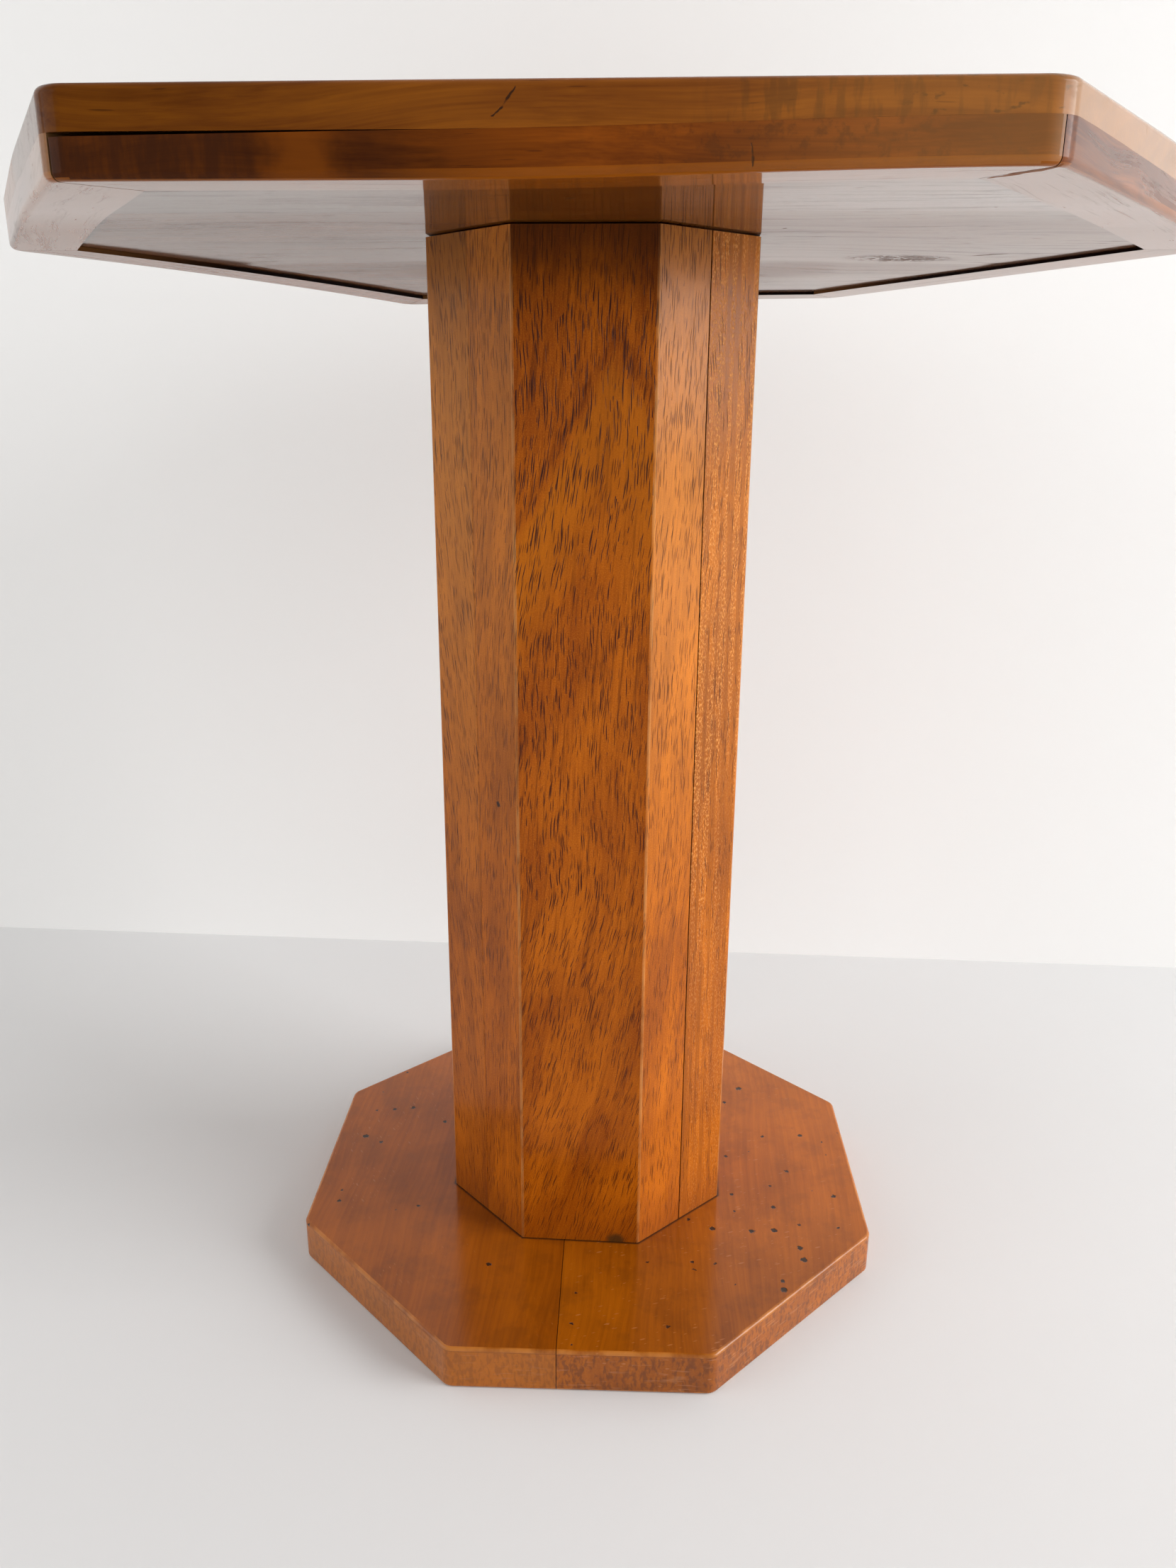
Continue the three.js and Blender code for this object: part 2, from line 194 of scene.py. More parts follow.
def new_group(name, inputs, outputs):
    """An empty shader node group. Its inputs are a vector and what is named, with usual values."""
    tree = bpy.data.node_groups.new(name, "ShaderNodeTree")
    for input_name, value in {"Vector": (0, 0, 0), **inputs}.items():
        kind = "Float" if isinstance(value, float) else {3: "Vector", 4: "Color"}[len(value)]
        socket = tree.interface.new_socket(name=input_name, in_out="INPUT",
                                           socket_type=f"NodeSocket{kind}")
        socket.default_value = value
    for output_name, kind in outputs.items():
        tree.interface.new_socket(name=output_name, in_out="OUTPUT", socket_type=f"NodeSocket{kind}")
    given = tree.nodes.new("NodeGroupInput").outputs
    result = tree.nodes.new("NodeGroupOutput").inputs
    return tree, given, result


def grain_group():
    """Timber before its pores: growth rings about a heart, long fibres and soft blotches.
    The grain runs along Z of the vector."""
    tree, given, result = new_group(
        "grain",
        {"Pale": (0.4, 0.15, 0.04, 1), "Deep": (0.2, 0.06, 0.015, 1), "Heart": (0, 0.03, 0),
         "Ring Spacing": 0.01, "Ring Taper": 0.1, "Wander": 0.01, "Ring Weight": 0.4,
         "Fibre Weight": 0.3, "Blotch Weight": 0.3},
        {"Color": "Color", "Rings": "Float", "Fibre": "Float", "Vector": "Vector"},
    )
    slow = placed(tree, given["Vector"], stretch=(1, 1, 0.55))
    sideways = vector_calc(tree, "MULTIPLY", swaying(tree, slow, 11.0, 1.5), (1, 1, 0))
    wander = vector_calc(tree, "SCALE", sideways, scale=given["Wander"])
    warped = vector_calc(tree, "ADD", given["Vector"], wander)
    from_heart = vector_calc(tree, "SUBTRACT", warped, given["Heart"])
    across = vector_calc(tree, "MULTIPLY", from_heart, (1, 1, 0))
    radius = vector_calc(tree, "LENGTH", across)
    leaning = times(tree, parts_of(tree, warped)["Z"], given["Ring Taper"])
    ring = calc(tree, "DIVIDE", calc(tree, "ADD", radius, leaning), given["Ring Spacing"])
    phase = calc(tree, "FRACT", ring)
    rings = times(tree, fade(tree, phase, 0.0, 0.75), fade(tree, phase, 0.82, 1.0, 1.0, 0.0))
    threads = placed(tree, warped, stretch=(1, 1, 0.02))
    fibre = cloud(tree, threads, 900.0, detail=4.0, roughness=0.6)
    bands = placed(tree, warped, stretch=(1, 1, 0.06))
    streak = cloud(tree, bands, 130.0)
    blotch = cloud(tree, slow, 24.0, detail=4.0, roughness=0.55)
    both = calc(tree, "ADD", times(tree, fibre, 0.5), times(tree, streak, 0.5))
    amount = times(tree, rings, given["Ring Weight"])
    fibres = times(tree, fade(tree, both, 0.3, 0.7), given["Fibre Weight"])
    blotches = times(tree, fade(tree, blotch, 0.32, 0.68), given["Blotch Weight"])
    amount = calc(tree, "ADD", calc(tree, "ADD", amount, fibres), blotches, clamp=True)
    plug(tree, tinted(tree, amount, given["Pale"], given["Deep"]), result["Color"])
    plug(tree, rings, result["Rings"])
    plug(tree, both, result["Fibre"])
    plug(tree, warped, result["Vector"])
    return tree


def scattered(tree, place, flat, share):
    """One spot in each unit cell: how far off it is, whether it is kept, and a number of its own."""
    texture = tree.nodes.new("ShaderNodeTexVoronoi")
    texture.voronoi_dimensions = "2D" if flat else "3D"
    texture.inputs["Scale"].default_value = 1.0
    plug(tree, place, texture.inputs["Vector"])
    chance = tree.nodes.new("ShaderNodeSeparateColor")
    plug(tree, texture.outputs["Color"], chance.inputs[0])
    kept = calc(tree, "LESS_THAN", chance.outputs[0], share)
    return texture.outputs["Distance"], kept, chance.outputs[1]


def dashes_group(name, flat):
    """Short dashes along Z of the vector: open pores, ray flecks or scratches. The flat kind looks
    at X and Z only, for a vector that is laid out on the face."""
    usual = {"Pitch": 0.002, "Length": 0.02, "Size": 0.2, "Share": 0.8}
    tree, given, result = new_group(name, usual, {"Mask": "Float"})
    place = parts_of(tree, given["Vector"])
    across = calc(tree, "DIVIDE", place["X"], given["Pitch"])
    along = calc(tree, "DIVIDE", place["Z"], given["Length"])
    depth = calc(tree, "DIVIDE", place["Y"], given["Pitch"])
    cells = (across, along, 0.0) if flat else (across, depth, along)
    distance, kept, own = scattered(tree, joined(tree, *cells), flat, given["Share"])
    reach = times(tree, given["Size"], sloped(tree, own, 0.7, 0.5))
    mark = fade(tree, distance, times(tree, reach, 0.5), reach, 1.0, 0.0)
    plug(tree, times(tree, mark, kept), result["Mask"])
    return tree


def pits_group(name, flat):
    """Small irregular holes and specks, scattered thinly. The flat kind looks at X and Y only."""
    usual = {"Pitch": 0.02, "Size": 0.001, "Share": 0.5}
    tree, given, result = new_group(name, usual, {"Mask": "Float"})
    ragged = shaken(tree, given["Vector"], 700.0, 0.0026)
    scaled = vector_calc(tree, "SCALE", ragged, scale=calc(tree, "DIVIDE", 1.0, given["Pitch"]))
    distance, kept, own = scattered(tree, scaled, flat, given["Share"])
    reach = calc(tree, "DIVIDE", given["Size"], given["Pitch"])
    reach = times(tree, reach, calc(tree, "ADD", own, 0.3))
    mark = fade(tree, distance, times(tree, reach, 0.7), reach, 1.0, 0.0)
    plug(tree, times(tree, mark, kept), result["Mask"])
    return tree


def crack_group():
    """A wavering hairline between two points, thinner towards its ends."""
    usual = {"From": (0, 0, 0), "To": (0, 0, 1), "Width": 0.0004}
    tree, given, result = new_group("crack", usual, {"Mask": "Float"})
    here = vector_calc(tree, "SUBTRACT", shaken(tree, given["Vector"], 170.0, 0.004), given["From"])
    run = vector_calc(tree, "SUBTRACT", given["To"], given["From"])
    share = calc(tree, "DIVIDE", vector_calc(tree, "DOT_PRODUCT", here, run),
                 vector_calc(tree, "DOT_PRODUCT", run, run), clamp=True)
    nearest = vector_calc(tree, "SCALE", run, scale=share)
    apart = vector_calc(tree, "DISTANCE", here, nearest)
    belly = times(tree, times(tree, share, calc(tree, "SUBTRACT", 1.0, share)), 4.0)
    half = times(tree, given["Width"], sloped(tree, belly, 0.35, 0.15))
    plug(tree, fade(tree, apart, times(tree, half, 0.5), half, 1.0, 0.0), result["Mask"])
    return tree


GRAIN = grain_group()
DASHES = dashes_group("dashes", False)
FLAT_DASHES = dashes_group("flat_dashes", True)
PITS = pits_group("pits", False)
FLAT_PITS = pits_group("flat_pits", True)
CRACK = crack_group()


def use(tree, group, **values):
    """A group placed in a material, with underscores in its input names written for spaces."""
    node = tree.nodes.new("ShaderNodeGroup")
    node.node_tree = group
    for name, value in values.items():
        plug(tree, value, node.inputs[name.replace("_", " ")])
    return node.outputs


def varnished(name, coat_roughness, coat=1.0, roughness=0.5, coat_ior=1.4):
    """A material with the object's own coordinates, and a clear film over it unless coat is 0."""
    material = bpy.data.materials.new(name)
    material.use_nodes = True
    tree = material.node_tree
    shader = tree.nodes["Principled BSDF"]
    shader.inputs["Roughness"].default_value = roughness
    shader.inputs["Specular IOR Level"].default_value = 0.03 if coat else 0.5
    shader.inputs["Coat Weight"].default_value = coat
    shader.inputs["Coat IOR"].default_value = coat_ior
    shader.inputs["Coat Roughness"].default_value = coat_roughness
    place = tree.nodes.new("ShaderNodeTexCoord").outputs["Object"]
    return material, tree, shader, place


def raised(tree, shader, height, distance, strength):
    bump = tree.nodes.new("ShaderNodeBump")
    bump.inputs["Strength"].default_value = strength
    bump.inputs["Distance"].default_value = distance
    plug(tree, height, bump.inputs["Height"])
    plug(tree, bump.outputs[0], shader.inputs["Normal"])
    plug(tree, bump.outputs[0], shader.inputs["Coat Normal"])


def marked(tree, colour, *marks):
    """Lays marks over the wood, one after the other. Each is a mask, a strength and a colour."""
    for mask, strength, mark in marks:
        colour = tinted(tree, times(tree, mask, strength), colour, mark)
    return colour


def face_mark(tree, name):
    attribute = tree.nodes.new("ShaderNodeAttribute")
    attribute.attribute_name = name
    return attribute.outputs["Fac"]


def rubbed(tree, place, least):
    """Where the arrises are rubbed through: unevenly over the faces marked "worn"."""
    patchy = fade(tree, cloud(tree, place, 70.0, detail=4.0), 0.38, 0.62, least, 1.0)
    return times(tree, face_mark(tree, "worn"), patchy)


def base_finish(name, shift, tone, fleck_turn, edge_figure, edge_pale):
    material, tree, shader, place = varnished(name, 0.18, coat_ior=1.42)
    along = placed(tree, place, move=shift, turn=(math.pi / 2, 0, -BASE_TURN))
    grain = use(tree, GRAIN, Vector=along, Pale=(0.56, 0.146, 0.003), Deep=(0.28, 0.064, 0.001),
                Heart=(0.02, 0.09, 0), Ring_Spacing=0.0042, Ring_Taper=0.02, Wander=0.03,
                Ring_Weight=0.14, Fibre_Weight=0.4, Blotch_Weight=0.4)
    turned = placed(tree, placed(tree, place, turn=(0, 0, fleck_turn)), turn=(math.pi / 2, 0, 0))
    flecks = use(tree, DASHES, Vector=turned, Pitch=0.0022, Length=0.008, Size=0.24, Share=0.9)
    pores = use(tree, DASHES, Vector=grain["Vector"], Pitch=0.0011, Length=0.007, Size=0.2, Share=0.4)
    x, y, height = parts_of(tree, place)
    on_edge = fade(tree, height, BASE_THICK - BASE_ARRIS, BASE_THICK - BASE_ARRIS - 0.0006)
    crowded = fade(tree, cloud(tree, place, 13.0, detail=1.0), 0.44, 0.62, 0.03, 0.25)
    share = times(tree, crowded, calc(tree, "SUBTRACT", 1.0, on_edge))
    pits = use(tree, FLAT_PITS, Vector=place, Pitch=0.012, Size=0.0017, Share=share)
    mottle = fade(tree, cloud(tree, place, 55.0, detail=5.0, roughness=0.65), 0.45, 0.65)
    colour = shaded(tree, grain["Color"], tone)
    colour = marked(tree, colour, (mottle, 0.28, (0.20, 0.050, 0.003)))
    # Darker towards the front, on the top face more than on the edges.
    darker_front = greatest(tree, fade(tree, y, -0.12, 0.02, 0.68, 1.0), times(tree, on_edge, 0.82))
    colour = shaded(tree, colour, joined(tree, darker_front, darker_front, darker_front))
    patches = fade(tree, cloud(tree, place, 17.0, detail=2.0), 0.45, 0.62)
    sawn = placed(tree, place, turn=(0, math.radians(-24), 0), stretch=(0.12, 0.12, 1))
    lines = fade(tree, cloud(tree, sawn, 700.0, detail=2.0), 0.58, 0.7)
    quilt = placed(tree, shaken(tree, place, 200.0, 0.002), stretch=(1, 1, 0.4))
    rippled = fade(tree, cloud(tree, quilt, 560.0, detail=2.0), 0.44, 0.62, 0.0, edge_figure)
    colour = marked(
        tree, colour,
        (times(tree, flecks["Mask"], patches), 0.35, (0.60, 0.26, 0.09)),
        (pores["Mask"], 0.3, (0.12, 0.03, 0.006)),
        (on_edge, edge_pale, (0.60, 0.19, 0.012)),
        (on_edge, rippled, (0.13, 0.034, 0.006)),
        (times(tree, on_edge, lines), edge_figure * 0.6, (0.50, 0.20, 0.07)),
        (rubbed(tree, place, 0.1), 0.75, (0.54, 0.19, 0.03)),
    )
    # Painted shade where the column stands on the base: a dark ring on the base round the column's
    # foot.
    reach_x, reach_y = calc(tree, "ABSOLUTE", x), calc(tree, "ABSOLUTE", y)
    corner = times(tree, calc(tree, "ADD", reach_x, reach_y), math.sqrt(0.5))
    from_column = greatest(tree, reach_x, reach_y, corner)
    from_column = sloped(tree, pores["Mask"], 0.001, from_column)
    dark_in_corner = fade(tree, from_column, COLUMN_HALF + 0.0003, COLUMN_HALF + 0.0018, 0.9, 0.0)
    colour = tinted(tree, dark_in_corner, colour, (0.03, 0.010, 0.003))
    colour = marked(tree, colour, (pits["Mask"], 0.95, (0.016, 0.010, 0.006)))
    plug(tree, colour, shader.inputs["Base Color"])
    uneven = times(tree, cloud(tree, place, 38.0, detail=2.0), 0.3)
    raised(tree, shader, calc(tree, "SUBTRACT", uneven, pits["Mask"]), 0.0006, 0.5)
    return material


def new_piece(node, shape, material, body):
    """Makes an object of a finished bmesh and seats it on its body in place of its solid."""
    mesh = bpy.data.meshes.new(f"{node}_finished")
    shape.to_mesh(mesh)
    shape.free()
    mesh.materials.append(material)
    mesh.shade_smooth()
    mesh.set_sharp_from_angle(angle=math.radians(30))
    piece = bpy.data.objects.new(f"{node}_finished", mesh)
    scene.collection.objects.link(piece)
    shading = piece.modifiers.new("even_shading", "WEIGHTED_NORMAL")
    shading.keep_sharp = True
    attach(piece, body)
    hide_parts(node)


def blank():
    """An empty shape, with the face marks that the finishes read."""
    shape = bmesh.new()
    for mark in ("worn", "in_shade", "under"):
        shape.faces.layers.float.new(mark)
    return shape


def mark_faces(shape, faces, mark):
    layer = shape.faces.layers.float[mark]
    for face in faces:
        face[layer] = 1.0


def round_over(shape, edges, radius, segments, worn=True):
    made = bmesh.ops.bevel(shape, geom=edges, offset=radius, offset_type="OFFSET", affect="EDGES",
                           segments=segments, profile=0.5, material=-1, clamp_overlap=True)
    if worn:
        mark_faces(shape, made["faces"], "worn")


def trim(shape, point, normal):
    """Saws off what lies beyond a plane and closes the cut."""
    geometry = shape.verts[:] + shape.edges[:] + shape.faces[:]
    cut = bmesh.ops.bisect_plane(shape, geom=geometry, plane_co=point, plane_no=normal,
                                 clear_outer=True, dist=1e-6)
    rim = [part for part in cut["geom_cut"] if isinstance(part, bmesh.types.BMEdge)]
    return bmesh.ops.edgeloop_fill(shape, edges=rim)["faces"]


def level_edges(shape, height):
    return [edge for edge in shape.edges
            if all(abs(corner.co.z - height) < 1e-6 for corner in edge.verts)]


def upright_edges(shape):
    return [edge for edge in shape.edges
            if abs((edge.verts[0].co - edge.verts[1].co).normalized().z) > 0.99]


def swivel(shape, angle):
    bmesh.ops.rotate(shape, verts=shape.verts, matrix=Matrix.Rotation(angle, 3, "Z"))


def raise_walls(shape, height):
    """Makes a solid of a flat outline."""
    lifted = bmesh.ops.extrude_face_region(shape, geom=shape.faces[:])
    risen = [part for part in lifted["geom"] if isinstance(part, bmesh.types.BMVert)]
    bmesh.ops.translate(shape, verts=risen, vec=(0, 0, height))
    bmesh.ops.recalc_face_normals(shape, faces=shape.faces)


def slab(sides, across, low, high):
    """A sharp slab on a regular outline with one flat to the front."""
    shape = blank()
    radius = across / 2 / math.cos(math.pi / sides)
    bmesh.ops.create_circle(shape, cap_ends=True, segments=sides, radius=radius)
    swivel(shape, math.pi / sides)
    first = min(shape.verts, key=lambda vert: (round(vert.co.y, 5), vert.co.x))
    bearing = math.atan2(first.co.y, first.co.x)
    wanted = -math.pi / 2 - math.pi / sides
    swivel(shape, wanted - bearing)
    bmesh.ops.translate(shape, verts=shape.verts, vec=(0, 0, low))
    raise_walls(shape, high - low)
    return shape


# Name, side, tone, turn of the flecks, and how figured and how pale the sawn edge is.
BASE_BOARDS = [
    ("base_board_left", -1, (0.93, 0.88, 0.8), math.radians(-37), 0.35, 0.4),
    ("base_board_right", 1, (1.04, 1.04, 0.9), math.radians(68), 0.6, 0.0),
]
for name, side, tone, fleck_turn, edge_figure, edge_pale in BASE_BOARDS:
    board = slab(8, BASE_ACROSS, 0, BASE_THICK)
    round_over(board, upright_edges(board), BASE_CORNER, 5, worn=False)
    for height in (0, BASE_THICK):
        round_over(board, level_edges(board, height), BASE_ARRIS, 4)
    seam = Vector((SEAM_X + side * SEAM_GAP / 2, 0, 0))
    trim(board, seam, Vector((-side, 0, 0)))
    swivel(board, BASE_TURN)
    shift = (0.31 * side, 0.1, 0.4 * side)
    finish = base_finish(f"{name}_finish", shift, tone, fleck_turn, edge_figure, edge_pale)
    new_piece(name, board, finish, "stand")


# ---- Column ----
# Four boards of an open-pored red-brown hardwood, mitred into a box and planed to an octagon.
# Each board shows its own facet and half of the facets beside it; one joint has opened.
FACET_HALF = COLUMN_HALF * math.tan(math.pi / 8)
WALL = column_high.y - column_low.y
COLUMN_ARRIS = 0.0009
OPEN_JOINT = 0.0006
TIGHT_JOINT = 0.00008
JOINT_ARRIS = 0.0002
JOINT_ROOM = 0.002


def column_finish(name, heart, arch, lean_angle, foot_lean, tone, pore_share, sheen_left, sheen_right,
                  ribbon):
    """The pattern is laid out on the facets, with X across them, unrolled, and Z up the column.
    A dark ring peaks at the height of arch, and the half facets are tinted paler, more so towards the
    top: a painted sheen."""
    material, tree, shader, place = varnished(name, 0.2, roughness=0.55, coat_ior=1.21)
    layout = tree.nodes.new("ShaderNodeUVMap")
    layout.uv_map = "unrolled"
    flat = parts_of(tree, layout.outputs[0])
    across, up = flat["X"], flat["Y"]
    beside = fade(tree, calc(tree, "ABSOLUTE", across), FACET_HALF - 0.0003, FACET_HALF + 0.0003)
    low_down = greatest(tree, calc(tree, "SUBTRACT", 0.26, up), 0.0)
    on_front = calc(tree, "SUBTRACT", 1.0, beside)
    sweep = times(tree, times(tree, low_down, low_down), times(tree, on_front, foot_lean))
    swept = joined(tree, calc(tree, "ADD", across, sweep), 0.0, up)
    laid = placed(tree, swept, turn=(0, lean_angle, 0))
    grain = use(tree, GRAIN, Vector=laid, Pale=(0.55, 0.134, 0.003), Deep=(0.26, 0.050, 0.001),
                Heart=heart, Ring_Spacing=0.022, Ring_Taper=0.6, Wander=0.028,
                Ring_Weight=0.04, Fibre_Weight=0.6, Blotch_Weight=0.5)
    banded = times(tree, fade(tree, grain["Rings"], 0.5, 0.9), on_front)
    crowd = placed(tree, grain["Vector"], move=(0.3, 0, 0.7), stretch=(1, 1, 0.3))
    crowded = fade(tree, cloud(tree, crowd, 90.0), 0.38, 0.62, -0.25, 0.2)
    wavy = shaken(tree, grain["Vector"], 60.0, 0.0018)
    bent = parts_of(tree, shaken(tree, laid, 70.0, 0.008))
    from_peak = calc(tree, "ABSOLUTE", calc(tree, "SUBTRACT", bent["X"], heart[0]))
    steep = fade(tree, bent["X"], heart[0] - 0.002, heart[0] + 0.002, 2.2, 1.35)
    below_peak = calc(tree, "SUBTRACT", arch, sloped(tree, from_peak, steep, bent["Z"]))
    arched = times(tree, fade(tree, below_peak, -0.005, 0.0),
                   fade(tree, below_peak, 0.001, 0.009, 1.0, 0.0))
    arched = times(tree, arched, on_front)
    share = calc(tree, "ADD", sloped(tree, banded, 0.3, pore_share), crowded)
    share = sloped(tree, arched, 1.2, share)
    fewer = calc(tree, "SUBTRACT", share, fade(tree, up, 0.3, 0.48, 0.6, 0.05))
    coarse = use(tree, FLAT_DASHES, Vector=wavy, Pitch=0.0014, Length=0.034, Size=0.22, Share=fewer)
    aside = placed(tree, wavy, move=(0.0171, 0, 0.0333), turn=(0, 0.03, 0))
    medium = use(tree, FLAT_DASHES, Vector=aside, Pitch=0.00115, Length=0.025, Size=0.24, Share=share)
    away = placed(tree, wavy, move=(0.0533, 0, 0.0711), turn=(0, -0.03, 0))
    small = use(tree, FLAT_DASHES, Vector=away, Pitch=0.001, Length=0.016, Size=0.25, Share=share)
    pores = greatest(tree, coarse["Mask"], medium["Mask"])
    pits = use(tree, PITS, Vector=place, Pitch=0.05, Size=0.0022, Share=0.22)
    speckle = cloud(tree, laid, 1500.0, roughness=0.7)
    lines = placed(tree, laid, move=(0.7, 0, 0.2), stretch=(1, 1, 0.035))
    dark_lines = fade(tree, cloud(tree, lines, 620.0, roughness=0.6), 0.5, 0.68)
    streaky = times(tree, arched, sloped(tree, dark_lines, 0.6, 0.25))
    lined = sloped(tree, beside, -0.3, 0.6)
    lined = times(tree, lined, fade(tree, up, 0.06, 0.24, 0.5, 1.0))
    # Painted sheen: the half facets are tinted paler, more towards the top, and by a different amount
    # on each side.
    pale = fade(tree, across, -0.001, 0.001, sheen_left, sheen_right)
    pale = times(tree, pale, fade(tree, up, 0.15, 0.5, 0.1, 1.0))
    inside = fade(tree, below_peak, 0.03, 0.11, 1.0, 0.0)
    inside = times(tree, fade(tree, below_peak, 0.004, 0.02), inside)
    threads = fade(tree, grain["Fibre"], 0.45, 0.62)
    colour = marked(
        tree, shaded(tree, grain["Color"], tone),
        (fade(tree, speckle, 0.5, 0.72), 0.5, (0.64, 0.21, 0.012)),
        (fade(tree, speckle, 0.5, 0.3), 0.4, (0.15, 0.030, 0.001)),
        (streaky, 1.0, (0.09, 0.014, 0.001)),
        (dark_lines, lined, (0.11, 0.020, 0.001)),
        (beside, pale, (0.74, 0.31, 0.06)),
        (times(tree, inside, on_front), 0.4, (0.62, 0.18, 0.004)),
        (threads, times(tree, beside, 0.2), (0.24, 0.07, 0.015)),
    )
    # The ribbon's glints are a painted highlight: bright flecks in the colour, raised in the bump as
    # well.
    if ribbon:
        stripes = placed(tree, laid, stretch=(1, 1, 0.02))
        stripe = fade(tree, cloud(tree, stripes, 260.0), 0.4, 0.6)
        crumple = placed(tree, laid, stretch=(1, 1, 0.45))
        glint = fade(tree, cloud(tree, crumple, 1300.0, roughness=0.6), 0.48, 0.62)
        glints = times(tree, glint, sloped(tree, stripe, 0.75, 0.25))
        glints = times(tree, glints, fade(tree, up, 0.12, 0.3, 0.35, 1.0))
        colour = marked(tree, colour, (glints, ribbon, (0.84, 0.36, 0.08)),
                        (fade(tree, stripe, 0.5, 0.0), 0.35, (0.22, 0.060, 0.006)))
    depth = sloped(tree, beside, -0.2, 0.95)
    depth = times(tree, depth, fade(tree, up, 0.05, 0.25, 0.7, 1.0))
    blackness = fade(tree, up, 0.25, 0.45)
    pore_colour = tinted(tree, blackness, (0.060, 0.011, 0.002), (0.028, 0.005, 0.003))
    colour = marked(
        tree, colour,
        (small["Mask"], 0.8, (0.07, 0.014, 0.003)),
        (pores, depth, pore_colour),
        # The arrises are tinted pale: partly rubbed wear, partly a painted highlight.
        (rubbed(tree, place, 0.4), 0.36, (0.74, 0.36, 0.12)),
        # Painted shade: the mitre faces inside the joints are near-black.
        (face_mark(tree, "in_shade"), 0.95, (0.02, 0.008, 0.005)),
    )
    # Painted shade under the top: the head of the column is darkened, most on the front facet, less on
    # the half facet to the right and least on the one to the left.
    ragged = cloud(tree, place, 45.0, detail=4.0)
    above = sloped(tree, ragged, 0.03, parts_of(tree, place)["Z"])
    most = sloped(tree, beside, fade(tree, across, -0.001, 0.001, -0.82, -0.4), 0.9)
    head_shade = fade(tree, above, column_high.z - 0.035, column_high.z + 0.02, 0.0, most)
    # Darker and deeper in colour towards the foot.
    darker_foot = fade(tree, above, column_low.z + 0.01, column_low.z + 0.05, 0.4, 0.0)
    colour = tinted(tree, head_shade, colour, (0.07, 0.018, 0.004))
    colour = tinted(tree, darker_foot, colour, (0.24, 0.05, 0.003))
    stain_place = vector_calc(tree, "SUBTRACT", shaken(tree, place, 120.0, 0.004),
                              (0.0196, -COLUMN_HALF, column_low.z + 0.001))
    stain = fade(tree, vector_calc(tree, "LENGTH", stain_place), 0.002, 0.0065, 0.8, 0.0)
    colour = tinted(tree, stain, colour, (0.05, 0.028, 0.008))
    colour = marked(tree, colour, (pits["Mask"], 0.9, (0.02, 0.01, 0.006)))
    plug(tree, colour, shader.inputs["Base Color"])
    lost = times(tree, fade(tree, above, column_high.z - 0.06, column_high.z + 0.01),
                 sloped(tree, on_front, 0.6, 0.1))
    plug(tree, calc(tree, "SUBTRACT", 1.0, lost), shader.inputs["Coat Weight"])
    sunk = calc(tree, "ADD", pores, pits["Mask"])
    relief = calc(tree, "SUBTRACT", times(tree, grain["Fibre"], 0.25), sunk)
    if ribbon:
        relief = calc(tree, "ADD", relief, times(tree, glints, 0.8))
    raised(tree, shader, relief, 0.00025, 0.5)
    return material


def column_board(left_gap, right_gap):
    """A board as seen from the front: a facet, two half facets, and mitres to the square hollow."""
    shape = blank()
    diagonal = COLUMN_HALF * math.sqrt(2)
    inner = COLUMN_HALF - WALL
    outline = []
    for sign, gap in ((-1, left_gap), (1, right_gap)):
        room = gap / math.sqrt(2)
        edge = [
            (sign * (inner - room), -inner),
            (sign * (diagonal - room) / 2, -(diagonal + room) / 2),
            (sign * FACET_HALF, -COLUMN_HALF),
        ]
        outline += edge if sign < 0 else edge[::-1]
    shape.faces.new([shape.verts.new((x, y, column_low.z)) for x, y in outline])
    raise_walls(shape, column_high.z - column_low.z)
    long_edges = upright_edges(shape)
    arrises = [edge for edge in long_edges if abs(edge.verts[0].co.y + COLUMN_HALF) < 1e-6]
    joints = [edge for edge in long_edges if abs(edge.verts[0].co.x) > FACET_HALF + JOINT_ROOM
              and edge.verts[0].co.y < -inner - JOINT_ROOM]
    round_over(shape, arrises, COLUMN_ARRIS, 4)
    round_over(shape, [edge for edge in joints if edge.is_valid], JOINT_ARRIS, 2, worn=False)
    # The mitre faces, seen only through the joints, are marked to be painted near-black as painted
    # shade.
    mitres = [face for face in shape.faces
              if face.normal.y > 0.5 and face.normal.x * face.calc_center_median().x > 0]
    mark_faces(shape, mitres, "in_shade")
    unrolled = shape.loops.layers.uv.new("unrolled")
    for face in shape.faces:
        for loop in face.loops:
            x, y, z = loop.vert.co
            beyond = max(0.0, abs(x) - FACET_HALF)
            loop[unrolled].uv = (math.copysign(abs(x) + beyond * (math.sqrt(2) - 1), x), z)
    return shape


# Where, heart of the rings, height of the arch, lean of the grain, its curve at the foot, tone,
# share of pores, painted sheen left and right of the facet, and painted glint of the ribbon.
COLUMN_BOARDS = [
    ("front", (-0.021, 0.003, 0), 0.498, -0.07, 0.6, (1.08, 1.08, 1.0), 0.66, 0.3, 0.42, 0.0),
    ("right", (0.2, 0.05, 0), 0.9, 0.0, 0.0, (1.03, 1.06, 1.0), 0.35, 0.2, 0.2, 0.65),
    ("back", (-0.01, 0.01, 0), 0.38, -0.03, 0.0, (1.0, 0.98, 1.0), 0.65, 0.2, 0.2, 0.0),
    ("left", (0.06, 0.02, 0), 0.44, 0.09, 0.0, (0.98, 0.98, 1.5), 0.6, 0.2, 0.45, 0.0),
]
for quarter, (where, *looks) in enumerate(COLUMN_BOARDS):
    gap_left = OPEN_JOINT if where == "right" else TIGHT_JOINT
    gap_right = OPEN_JOINT if where == "front" else TIGHT_JOINT
    board = column_board(gap_left, gap_right)
    swivel(board, quarter * math.pi / 2)
    finish = column_finish(f"column_{where}_finish", *looks)
    new_piece(f"column_board_{where}", board, finish, "stand")


